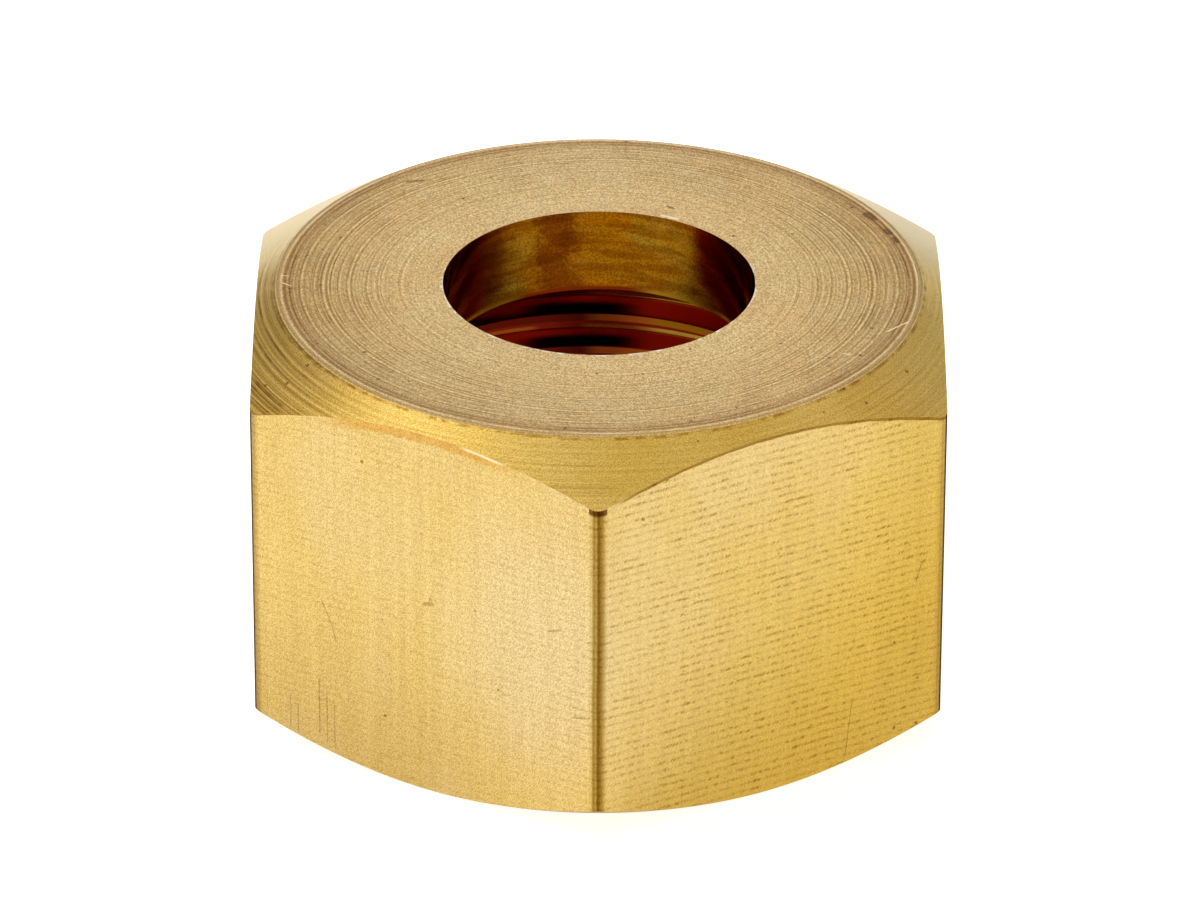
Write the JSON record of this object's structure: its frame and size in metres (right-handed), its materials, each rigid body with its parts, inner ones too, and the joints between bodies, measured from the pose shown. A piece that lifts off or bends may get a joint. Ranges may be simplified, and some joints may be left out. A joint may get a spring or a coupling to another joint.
{
  "type": "hexagon union nut",
  "caption": "Brass hexagon union nut with chamfered ends, a plain tube hole through a thick shoulder and a larger internal thread below it.",
  "frame": {"origin": "centre of the threaded end's face, which the nut stands on", "axes": "+Z along the bore, from the threaded end to the shoulder with the tube hole; two of the flats face +X and -X and two corners point to +Y and -Y"},
  "size_m": [0.027, 0.031, 0.0163],
  "materials": {
    "turned_brass": "machined brass: fine turning rings on the ends and cones, drawn and lightly dashed flats, dark tarnish inside the bore"
  },
  "bodies": {
    "root": {"union_nut": "turned_brass"}
  },
  "joints": []
}
